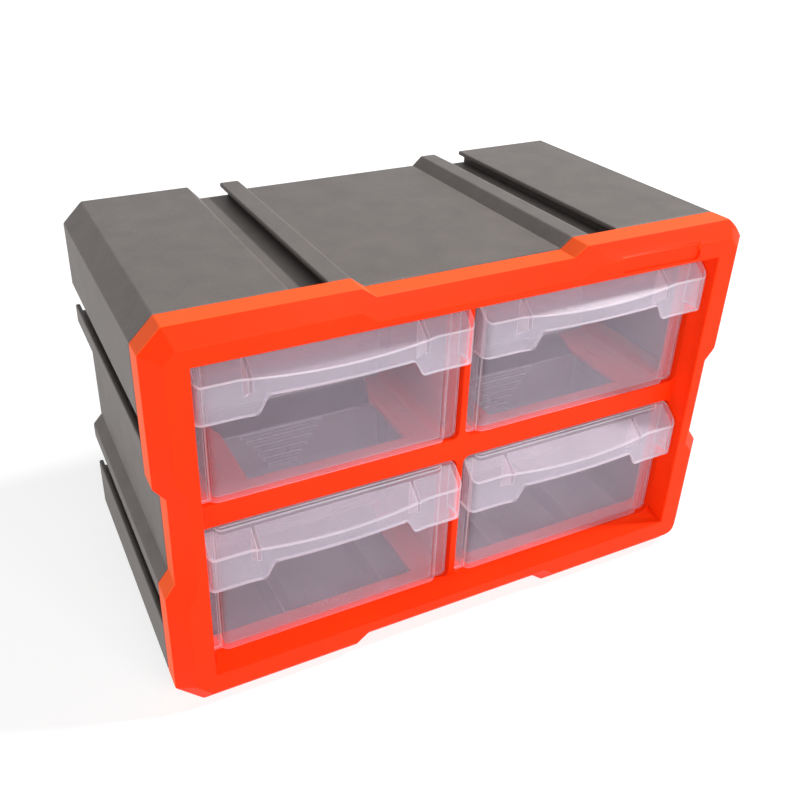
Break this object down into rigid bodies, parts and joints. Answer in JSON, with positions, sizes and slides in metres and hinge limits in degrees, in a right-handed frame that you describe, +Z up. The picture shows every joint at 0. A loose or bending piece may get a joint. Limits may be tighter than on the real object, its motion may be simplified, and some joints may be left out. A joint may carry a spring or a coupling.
{
  "type": "parts bin cabinet",
  "caption": "Stackable parts cabinet: grey case with joining grooves, orange front frame, and clear hooded drawers, each with a removable divider.",
  "frame": {"origin": "on the ground, under the middle of the case's box", "axes": "+Z up, drawers open towards -Y, +X to the right as seen from the front"},
  "size_m": [0.3, 0.16, 0.197],
  "materials": {
    "case_grey": "fine matt grain",
    "frame_orange": "satin",
    "clear_drawer": "milky clear",
    "clear_divider": "milky clear"
  },
  "bodies": {
    "cabinet": {"case": "case_grey", "front_frame": "frame_orange"},
    "upper_left": {"drawer_upper_left": "clear_drawer", "divider_upper_left": "clear_divider"},
    "upper_right": {"drawer_upper_right": "clear_drawer", "divider_upper_right": "clear_divider"},
    "lower_left": {"drawer_lower_left": "clear_drawer", "divider_lower_left": "clear_divider"},
    "lower_right": {"drawer_lower_right": "clear_drawer", "divider_lower_right": "clear_divider"}
  },
  "joints": [
    {"name": "slide_upper_left", "type": "slide", "parent": "cabinet", "child": "upper_left", "axis": [0, -1, 0], "range_m": [0, 0.11]},
    {"name": "slide_upper_right", "type": "slide", "parent": "cabinet", "child": "upper_right", "axis": [0, -1, 0], "range_m": [0, 0.11]},
    {"name": "slide_lower_left", "type": "slide", "parent": "cabinet", "child": "lower_left", "axis": [0, -1, 0], "range_m": [0, 0.11]},
    {"name": "slide_lower_right", "type": "slide", "parent": "cabinet", "child": "lower_right", "axis": [0, -1, 0], "range_m": [0, 0.11]}
  ]
}
